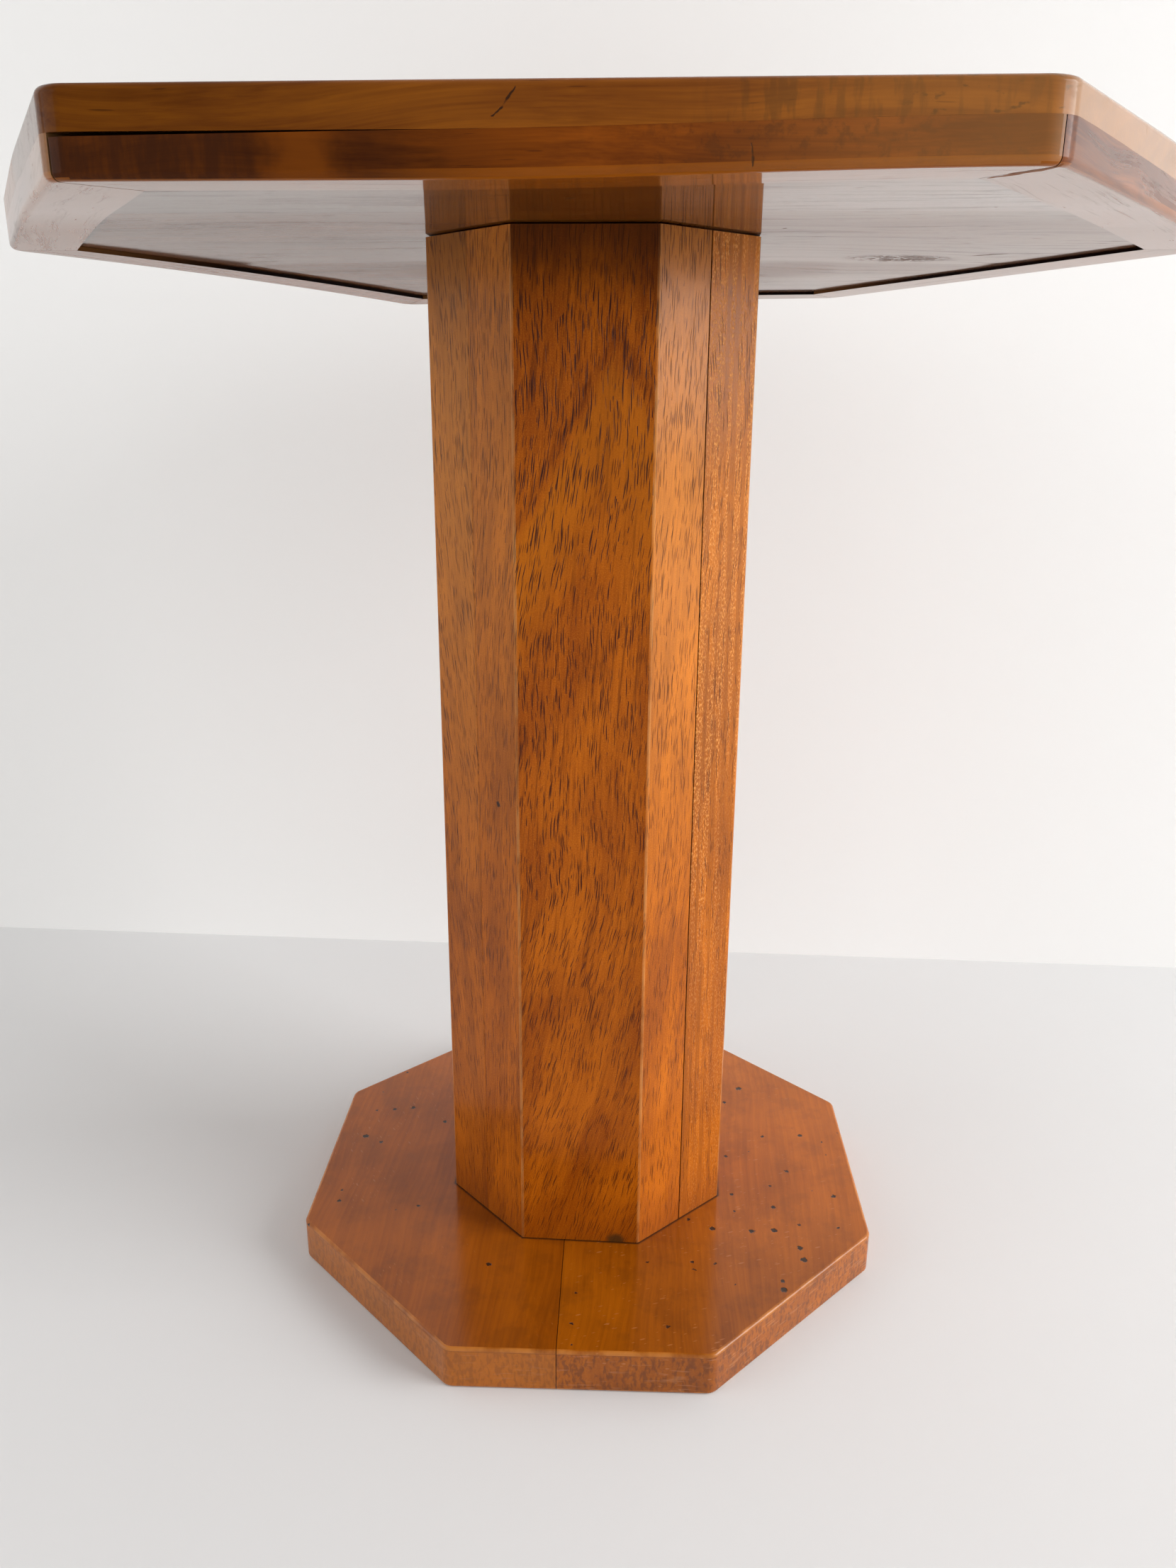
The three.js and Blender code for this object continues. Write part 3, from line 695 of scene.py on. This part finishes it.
# ---- Top ----
# Three edge-glued planks with the grain from side to side, rebated for six mitred rim strips.
# The outer planks lean down, the corners are rounded by hand, and the front strip has come away
# at its left end and is planed thinner towards its right end. The polish is glossy.
middle_low, middle_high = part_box("top_plank_middle")
strip_low, strip_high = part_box("rim_strip_front")
UNDERSIDE = middle_low.z
TOP_HIGH = middle_high.z
MIDDLE_HALF = middle_high.y
TOP_HALF = -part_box("top_plank_front")[0].y
RIM_WIDTH = strip_high.y - strip_low.y
RIM_THICK = 0.013
GLUE_LINE = 0.0001
RIM_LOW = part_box("rim_strip_front_left")[1].z - (RIM_THICK - GLUE_LINE)
RIM_SEAT = RIM_LOW + RIM_THICK
TOP_FALL = RIM_LOW - strip_low.z
TOP_CORNER = 0.007
CORNER_ROOM = 0.01
TOP_ARRIS = 0.0028
STRIP_GAP = 0.00002
MITRE_GAP = 0.00035
LOOSE_GAP = 0.0013
LOOSE_FROM = 0.03
SLANT_X, SLANT_Y = math.cos(math.pi / 6), math.sin(math.pi / 6)
TOP_REACH = TOP_HALF / SLANT_X
BEND_HALF = 0.035

# How the rim sags behind: its slope, its bend and what is lost of its step, at the left and right.
# The step begins to be lost a little ahead of the middle.
BACK_SLOPE = (0.0083, 0.0145)
BACK_CURVE = (0.098, 0.0)
STEP_LOST = (0.001, 0.0015)
STEP_LOST_FROM = 0.12
# How much thinner the rim is at its front right corner, and how far from there it is so.
THINNED = 0.0028
THINNED_OVER = 0.62 * TOP_REACH
# The planks keep their form this far from the middle, and sag beyond it.
LEVEL_RADIUS = 0.11
LEVEL_SOFT = 0.08


def band(tree, value, low, high, soft):
    """One between two values, fading to nothing outside them."""
    rise = fade(tree, value, low - soft, low + soft)
    return times(tree, rise, fade(tree, value, high - soft, high + soft, 1.0, 0.0))


def in_front(tree, place):
    """One on the front edge of the top."""
    return fade(tree, parts_of(tree, place)["Y"], 0.003 - TOP_HALF, 0.0015 - TOP_HALF)


def front_plank_marks(tree, place, colour):
    """Years of knocks on the front edge: ripple marks right of the middle, bruises further right."""
    x = parts_of(tree, shaken(tree, place, 120.0, 0.01))["X"]
    at_edge = in_front(tree, place)
    strokes = cloud(tree, placed(tree, place, stretch=(1, 1, 0.2)), 330.0, detail=4.0)
    ripples = times(tree, fade(tree, strokes, 0.48, 0.62), band(tree, x, 0.050, 0.150, 0.015))
    slanted = placed(tree, place, turn=(0, math.radians(50), 0), stretch=(0.45, 1, 1))
    dents = cloud(tree, slanted, 330.0)
    bruises = times(tree, fade(tree, dents, 0.58, 0.66), band(tree, x, 0.104, 0.156, 0.008))
    colour = marked(tree, colour, (times(tree, ripples, at_edge), 0.5, (0.090, 0.030, 0.004)),
                    (times(tree, bruises, at_edge), 0.85, (0.035, 0.014, 0.003)))
    left = fade(tree, x, -0.17, 0.08, 0.56, 1.0)
    return shaded(tree, colour, joined(tree, left, left, times(tree, left, left)))


def front_strip_marks(tree, place, colour):
    """The left third is stained dark with slanting streaks; an orange patch and a dark one follow."""
    x = parts_of(tree, shaken(tree, place, 110.0, 0.02, detail=4.0))["X"]
    slanted = placed(tree, place, turn=(0, math.radians(-17), 0), stretch=(1, 1, 0.2))
    streaks = fade(tree, cloud(tree, slanted, 300.0, detail=5.0, roughness=0.6), 0.36, 0.62)
    left = fade(tree, x, -0.06, 0.03, 0.43, 1.0)
    colour = shaded(tree, colour, joined(tree, left, times(tree, left, 0.93), left))
    stain = fade(tree, x, -0.095, -0.075, 0.7, 0.0)
    blots = fade(tree, cloud(tree, place, 300.0, detail=5.0, roughness=0.65), 0.5, 0.66)
    return marked(
        tree, colour,
        (streaks, stain, (0.024, 0.006, 0.002)),
        (stain, 0.35, (0.085, 0.024, 0.005)),
        (band(tree, x, -0.080, -0.060, 0.008), 0.4, (0.30, 0.075, 0.003)),
        (band(tree, x, -0.054, -0.044, 0.006), 0.35, (0.055, 0.013, 0.002)),
        (times(tree, blots, band(tree, x, 0.03, 0.3, 0.03)), 0.6, (0.07, 0.018, 0.003)),
    )


def top_finish(name, bearing, shift, pale, deep, stain, film, polished, cracks, knots=(), marks=None):
    """The film is thinner along grain lines, cracks and knots, so that they stay dark where the
    underside reflects. Faces marked "under" are stained. The front edge has lost film left of the
    place named polished."""
    material, tree, shader, place = varnished(name, 0.06, roughness=0.45, coat_ior=1.22)
    facing = placed(tree, place, turn=(0, 0, -bearing))
    along = placed(tree, facing, move=shift, turn=(0, math.pi / 2, 0))
    grain = use(tree, GRAIN, Vector=along, Pale=pale, Deep=deep,
                Heart=(0.05, 0.12, 0), Ring_Spacing=0.011, Ring_Taper=0.02, Wander=0.03,
                Ring_Weight=0.22, Fibre_Weight=0.6, Blotch_Weight=0.4)
    pores = use(tree, DASHES, Vector=grain["Vector"], Pitch=0.0017, Length=0.03, Size=0.15, Share=0.4)
    pits = use(tree, PITS, Vector=place, Pitch=0.04, Size=0.0018, Share=0.4)
    dull = greatest(tree, times(tree, fade(tree, grain["Fibre"], 0.5, 0.72), 0.4),
                    times(tree, pores["Mask"], 0.5))
    dark = pits["Mask"]
    for start, end, width in cracks:
        crack = use(tree, CRACK, Vector=place, From=start, To=end, Width=width)
        dark = greatest(tree, dark, crack["Mask"])
    for centre in knots:
        here = vector_calc(tree, "SUBTRACT", shaken(tree, place, 90.0, 0.012), centre)
        far = vector_calc(tree, "LENGTH", vector_calc(tree, "MULTIPLY", here, (0.55, 1, 0)))
        swirl = placed(tree, shaken(tree, place, 130.0, 0.02), stretch=(0.25, 1, 1))
        curls = fade(tree, cloud(tree, swirl, 330.0), 0.44, 0.56)
        dark = greatest(tree, dark, times(tree, curls, fade(tree, far, 0.004, 0.02, 0.9, 0.0)))
    colour = marked(tree, grain["Color"], (pores["Mask"], 0.5, (0.05, 0.013, 0.005)))
    if marks:
        colour = marks(tree, place, colour)
    side = parts_of(tree, facing)["X"]
    paler = (pale[0] * 1.1, pale[1] * 1.2, pale[2] * 1.5)
    # The rim's lower arrises are paler towards the right: partly rubbed wear, partly a painted
    # highlight.
    wear_and_highlight_right = times(tree, fade(tree, side, -0.07, 0.0), 0.6)
    under, in_shade = face_mark(tree, "under"), face_mark(tree, "in_shade")
    outside = calc(tree, "SUBTRACT", 1.0, under)
    reaches = [calc(tree, "ABSOLUTE", vector_calc(tree, "DOT_PRODUCT", place, outward))
               for outward in ((0, 1, 0), (SLANT_X, SLANT_Y, 0), (SLANT_X, -SLANT_Y, 0))]
    outwards = greatest(tree, *reaches)
    # A dark band on the underside along the inner edge of the rim.
    step = TOP_HALF - RIM_WIDTH
    dark_in_corner = band(tree, sloped(tree, grain["Fibre"], 0.006, outwards),
                step - 0.0005, step + 0.002, 0.0015)
    # Painted highlight on the rounded corner at the right end of the edge: a pale greyish tint.
    corner_highlight = times(tree, fade(tree, side, TOP_REACH / 2 - 0.006, TOP_REACH / 2 + 0.002),
                     fade(tree, outwards, TOP_HALF - TOP_ARRIS, TOP_HALF - TOP_ARRIS / 4))
    colour = marked(
        tree, colour,
        (face_mark(tree, "worn"), wear_and_highlight_right, paler),
        (dark, 0.9, (0.028, 0.013, 0.007)),
        (under, 0.6, stain),
        (under, times(tree, dark_in_corner, 0.85), (0.012, 0.006, 0.003)),
        # Painted shade: the rim's joint faces and inner face are near-black and have no film.
        (in_shade, 1.0, (0.006, 0.003, 0.002)),
        (outside, fade(tree, side, 0.02, 0.15, 0.0, 0.35), (0.48, 0.22, 0.07)),
        (times(tree, outside, corner_highlight), 0.3, (0.36, 0.30, 0.22)),
    )
    plug(tree, colour, shader.inputs["Base Color"])
    lost = greatest(tree, dull, dark, in_shade)
    x = parts_of(tree, place)["X"]
    whole = fade(tree, x, -0.15, 0.15, film * 0.9, film * 1.2)
    thinner = times(tree, outside, in_front(tree, place))
    thinner = times(tree, thinner, fade(tree, x, polished - 0.15, polished, 0.6, 0.0))
    whole = times(tree, whole, calc(tree, "SUBTRACT", 1.0, thinner))
    kept = calc(tree, "SUBTRACT", 1.0, lost)
    plug(tree, calc(tree, "MULTIPLY", whole, kept, clamp=True), shader.inputs["Coat Weight"])
    uneven = times(tree, cloud(tree, place, 30.0, detail=2.0), 0.6)
    lines = times(tree, grain["Fibre"], 0.3)
    relief = calc(tree, "SUBTRACT", calc(tree, "ADD", uneven, lines), dark)
    raised(tree, shader, relief, 0.0002, 0.5)
    return material


def sliced(shape, places, direction):
    """Adds cuts across a shape, so that it can be bent."""
    for place in places:
        geometry = shape.verts[:] + shape.edges[:] + shape.faces[:]
        bmesh.ops.bisect_plane(shape, geom=geometry, plane_co=direction * place,
                               plane_no=direction, dist=1e-6)


def eased(share):
    """A smooth step from 0 to 1."""
    share = min(1.0, max(0.0, share))
    return share * share * (3 - 2 * share)


def from_left(pair, x):
    """A value that goes from the first to the second along the back edge."""
    share = min(1.0, max(0.0, x / TOP_REACH + 0.5))
    return pair[0] + (pair[1] - pair[0]) * share


def even_fall(y):
    """How far the outer planks have sunk at this distance from the middle, with a soft start."""
    beyond = abs(y) - MIDDLE_HALF
    if beyond < -BEND_HALF:
        return 0.0
    if beyond < BEND_HALF:
        beyond = (beyond + BEND_HALF) ** 2 / (4 * BEND_HALF)
    return TOP_FALL / (TOP_HALF - MIDDLE_HALF) * beyond


def back_fall(x, y):
    return from_left(BACK_SLOPE, x) * y + from_left(BACK_CURVE, x) * y * y


def rim_fall(x, y):
    """The rim sags towards the back, and is planed thinner about the front right corner."""
    if y > 0:
        return back_fall(x, y)
    from_corner = (Vector((x, y)) - Vector((TOP_REACH / 2, -TOP_HALF))).length
    return even_fall(y) - THINNED * eased(1 - from_corner / THINNED_OVER)


def plank_fall(x, y):
    """The planks sag with the rim and a little more behind, but keep their form about the column."""
    sag = back_fall(x, y) if y > 0 else even_fall(y)
    sag += from_left(STEP_LOST, x) * eased(1 + y / STEP_LOST_FROM)
    away = eased((math.hypot(x, y) - LEVEL_RADIUS) / LEVEL_SOFT)
    return even_fall(y) + (sag - even_fall(y)) * away


def settle(shape, share_of_rim):
    """Bends a piece of the top as the table has moved with age. A plank's rebate follows the rim."""
    for vert in shape.verts:
        x, y, z = vert.co
        share = share_of_rim
        outwards = max(abs(y), abs(x) * SLANT_X + abs(y) * SLANT_Y)
        if z > RIM_SEAT - 1e-5 and outwards > TOP_HALF - RIM_WIDTH - 1e-4:
            share = (TOP_HIGH - z) / (TOP_HIGH - RIM_SEAT)
        vert.co.z -= plank_fall(x, y) + (rim_fall(x, y) - plank_fall(x, y)) * min(1.0, share)


def below(x, y):
    """A point on the planks' underside."""
    return (x, y, UNDERSIDE - plank_fall(x, y))


# Hairline cracks: from, to, and how wide.
TOP_CRACKS = [
    ((-0.0059, -TOP_HALF, 0.5558), (-0.0151, -TOP_HALF, 0.5452), 0.0011),
    ((0.1935, -0.1748, 0.5622), (0.1969, -0.169, 0.5569), 0.0008),
    (below(0.2036, 0.0282), below(0.1890, 0.0372), 0.0030),
    (below(-0.0780, 0.0310), below(-0.0640, 0.0350), 0.0026),
]
STRIP_CRACKS = [
    ((0.0599, -TOP_HALF, 0.5400), (0.0596, -TOP_HALF, 0.5330), 0.0011),
    ((0.1335, -0.226, 0.5345), (0.1465, -0.2535, 0.5340), 0.0060),
]
PLANK_LOOKS = {"pale": (0.35, 0.104, 0.006), "deep": (0.15, 0.036, 0.002), "film": 0.82,
               "stain": (0.085, 0.028, 0.004), "polished": 0.0, "cracks": TOP_CRACKS}
STRIP_LOOKS = {"pale": (0.28, 0.070, 0.003), "deep": (0.085, 0.018, 0.001), "film": 0.88,
               "stain": (0.30, 0.085, 0.004), "polished": 0.12, "cracks": STRIP_CRACKS}
KNOT = (0.1545, 0.0535, UNDERSIDE)

# Where the pieces are cut across, so that they can bend.
ALONG_X, ALONG_Y = Vector((1, 0, 0)), Vector((0, 1, 0))
BENDS = [side * (MIDDLE_HALF + BEND_HALF * step / 4) for side in (-1, 1) for step in range(-4, 5)]
OUTER_CUTS = [side * place for side in (-1, 1) for place in (0.17, 0.2, 0.23)]
PLANK_CUTS = [-0.12 + 0.018 * step for step in range(15)]
STRIP_CUTS = [-0.126 + 0.018 * step for step in range(15)]

# Each plank lies between two of these. The outer ones are past every piece.
SEAMS = [-9, -MIDDLE_HALF, MIDDLE_HALF, 9]
for k, where in enumerate(("front", "middle", "back")):
    plank = slab(6, 2 * TOP_HALF, RIM_SEAT, TOP_HIGH)
    bottom = [face for face in plank.faces if face.normal.z < -0.9]
    mark_faces(plank, bottom, "under")
    bmesh.ops.inset_region(plank, faces=bottom, thickness=RIM_WIDTH, use_even_offset=True)
    sunk = bmesh.ops.extrude_discrete_faces(plank, faces=bottom)["faces"]
    core = {vert for face in sunk for vert in face.verts}
    bmesh.ops.translate(plank, verts=list(core), vec=(0, 0, UNDERSIDE - RIM_SEAT))
    corners = [edge for edge in upright_edges(plank)
               if edge.verts[0].co.xy.length > TOP_REACH - CORNER_ROOM]
    round_over(plank, corners, TOP_CORNER, 5, worn=False)
    round_over(plank, level_edges(plank, TOP_HIGH), TOP_ARRIS, 5, worn=False)
    trim(plank, ALONG_Y * (SEAMS[k] + GLUE_LINE / 2), -ALONG_Y)
    trim(plank, ALONG_Y * (SEAMS[k + 1] - GLUE_LINE / 2), ALONG_Y)
    sliced(plank, BENDS, ALONG_Y)
    sliced(plank, PLANK_CUTS, ALONG_X)
    if where != "middle":
        sliced(plank, OUTER_CUTS, ALONG_Y)
    settle(plank, 0.0)
    finish = top_finish(f"plank_{where}_finish", 0, (0.2 * k, 0.33 * k, 0.5 * k), **PLANK_LOOKS,
                        knots=[KNOT] if where == "middle" else [],
                        marks=front_plank_marks if where == "front" else None)
    new_piece(f"top_plank_{where}", plank, finish, "top")

RIM_PLACES = ("front", "front_right", "back_right", "back", "back_left", "front_left")
for k, where in enumerate(RIM_PLACES):
    strip = slab(6, 2 * TOP_HALF, RIM_LOW, RIM_SEAT - STRIP_GAP)
    mark_faces(strip, [face for face in strip.faces if face.normal.z < -0.9], "under")
    round_over(strip, upright_edges(strip), TOP_CORNER, 5, worn=False)
    round_over(strip, level_edges(strip, RIM_LOW), TOP_ARRIS, 5)
    for side in (-1, 1):
        outward = Vector((SLANT_X * side, SLANT_Y, 0))
        open_end = where == "front" and side < 0
        mitre = trim(strip, outward * -(LOOSE_GAP if open_end else MITRE_GAP) / 2, outward)
        # The mitre faces are painted near-black: painted shade in the joints.
        mark_faces(strip, mitre, "in_shade")
    inner = trim(strip, ALONG_Y * (RIM_WIDTH - TOP_HALF), ALONG_Y)
    # The inner face is painted near-black as well: painted shade on the step of the rim.
    mark_faces(strip, inner, "in_shade")
    sliced(strip, STRIP_CUTS, ALONG_X)
    if where == "front":
        for vert in strip.verts:
            along = max(0.0, (-vert.co.x - LOOSE_FROM) / (TOP_REACH / 2 - LOOSE_FROM))
            share = (vert.co.z - RIM_LOW) / (RIM_SEAT - RIM_LOW)
            vert.co.z -= LOOSE_GAP * along * share
    swivel(strip, k * math.pi / 3)
    sliced(strip, BENDS, ALONG_Y)
    settle(strip, 1.0)
    finish = top_finish(f"rim_{where}_finish", k * math.pi / 3, (0.1 + 0.21 * k, 0.4 * k, 0.3 * k),
                        **STRIP_LOOKS, marks=front_strip_marks if where == "front" else None)
    new_piece(f"rim_strip_{where}", strip, finish, "top")


# ---- Inner wood ----
# Plain softwood: the foot and head blocks, the glue posts in the corners and the base's dowels.
inner_wood, tree, shader, place = varnished("inner_wood", 0.4, coat=0.0, roughness=0.75)
grain = use(tree, GRAIN, Vector=place, Pale=(0.62, 0.42, 0.22), Deep=(0.42, 0.25, 0.11),
            Heart=(0.01, 0.0, 0), Ring_Spacing=0.004, Ring_Taper=0.01, Wander=0.01,
            Ring_Weight=0.6, Fibre_Weight=0.3, Blotch_Weight=0.2)
plug(tree, grain["Color"], shader.inputs["Base Color"])
raised(tree, shader, grain["Fibre"], 0.0003, 0.4)


# ---- Hinge and catch ----
# A brass butt hinge with slotted screws, and a magnetic catch let into the column's head.
def small_finish(name, metal, roughness, scale, detail, first, second, ragged=0.5):
    """Metals are blotched with tarnish. Plastic and ferrite are softly mottled."""
    material, tree, shader, place = varnished(name, 0.3, coat=0.0, roughness=roughness)
    shader.inputs["Metallic"].default_value = metal
    mottle = cloud(tree, place, scale, detail, roughness=ragged)
    amount = fade(tree, mottle, 0.4, 0.7) if metal else mottle
    plug(tree, tinted(tree, amount, first, second), shader.inputs["Base Color"])
    if name == "brass":
        plug(tree, fade(tree, mottle, 0.3, 0.7, 0.25, 0.5), shader.inputs["Roughness"])
    return material


FINISHES = {
    "inner_wood": inner_wood,
    "brass": small_finish("brass", 1.0, 0.38, 120.0, 5.0, (0.66, 0.46, 0.18), (0.34, 0.21, 0.08), 0.6),
    "steel": small_finish("steel", 1.0, 0.35, 200.0, 4.0, (0.55, 0.54, 0.52), (0.33, 0.31, 0.29)),
    "catch_plastic": small_finish("catch_plastic", 0.0, 0.5, 300.0, 3.0,
                                  (0.05, 0.024, 0.013), (0.08, 0.04, 0.022)),
    "magnet": small_finish("ferrite", 0.0, 0.55, 900.0, 2.0, (0.02, 0.02, 0.022), (0.06, 0.06, 0.065)),
}
for part in frame["record"]["subparts"]:
    node = frame["nodes"][part["node"]]
    if part["material_slot"] in FINISHES and not node.hide_render:
        node.data.materials.clear()
        node.data.materials.append(FINISHES[part["material_slot"]])


# ---- Floor, wall and light ----
# A pale floor, a pale wall that only shows from the front, and two big soft lights.
WALL_Y = 0.345
WALL_HIGH = 2.5
FLOOR_HALF = 4
LIGHT_SIZE = 2.4
LIGHT_AIM = Vector((0, 0, 0.3))


def stage_plane(name, corners, colour, lift, see_through_back):
    """A matt pale plane, with a little glow of its own in what the camera and the polish see."""
    mesh = bpy.data.meshes.new(name)
    mesh.from_pydata(corners, [], [(0, 1, 2, 3)])
    plane = bpy.data.objects.new(name, mesh)
    scene.collection.objects.link(plane)
    material = bpy.data.materials.new(name)
    material.use_nodes = True
    tree = material.node_tree
    shader = tree.nodes["Principled BSDF"]
    for socket, value in (("Base Color", colour), ("Emission Color", colour), ("Roughness", 0.9),
                          ("Specular IOR Level", 0.1)):
        plug(tree, value, shader.inputs[socket])
    seen = tree.nodes.new("ShaderNodeLightPath").outputs
    rays = [seen[f"Is {ray} Ray"] for ray in ("Camera", "Glossy", "Transmission")]
    plug(tree, times(tree, greatest(tree, *rays), lift), shader.inputs["Emission Strength"])
    if see_through_back:
        clear = tree.nodes.new("ShaderNodeBsdfTransparent")
        blend = tree.nodes.new("ShaderNodeMixShader")
        behind = tree.nodes.new("ShaderNodeNewGeometry").outputs["Backfacing"]
        plug(tree, behind, blend.inputs[0])
        plug(tree, shader.outputs[0], blend.inputs[1])
        plug(tree, clear.outputs[0], blend.inputs[2])
        plug(tree, blend.outputs[0], tree.nodes["Material Output"].inputs["Surface"])
        plane.visible_shadow = False
    mesh.materials.append(material)


floor_corners = [(x * FLOOR_HALF, y * FLOOR_HALF, 0) for x, y in ((-1, -1), (1, -1), (1, 1), (-1, 1))]
wall_corners = [(x * FLOOR_HALF, WALL_Y, z * WALL_HIGH) for x, z in ((-1, 0), (1, 0), (1, 1), (-1, 1))]
stage_plane("floor", floor_corners, (0.74, 0.74, 0.74), 0.03, False)
stage_plane("wall", wall_corners, (0.86, 0.857, 0.847), 0.1, True)


def soft_light(name, place, power):
    data = bpy.data.lights.new(name, "AREA")
    data.shape = "SQUARE"
    data.size = LIGHT_SIZE
    data.energy = power
    light = bpy.data.objects.new(name, data)
    light.location = place
    light.rotation_euler = (LIGHT_AIM - Vector(place)).to_track_quat("-Z", "Y").to_euler()
    scene.collection.objects.link(light)


soft_light("window", (3.4, -0.75, 1.5), 145)
soft_light("far_side", (-3.0, -1.3, 1.4), 28)

world = bpy.data.worlds.new("room")
scene.world = world
world.use_nodes = True
sky = world.node_tree.nodes["Background"].inputs
sky["Color"].default_value = (1.0, 0.995, 0.985, 1)
sky["Strength"].default_value = 0.5
scene.view_settings.view_transform = "Standard"
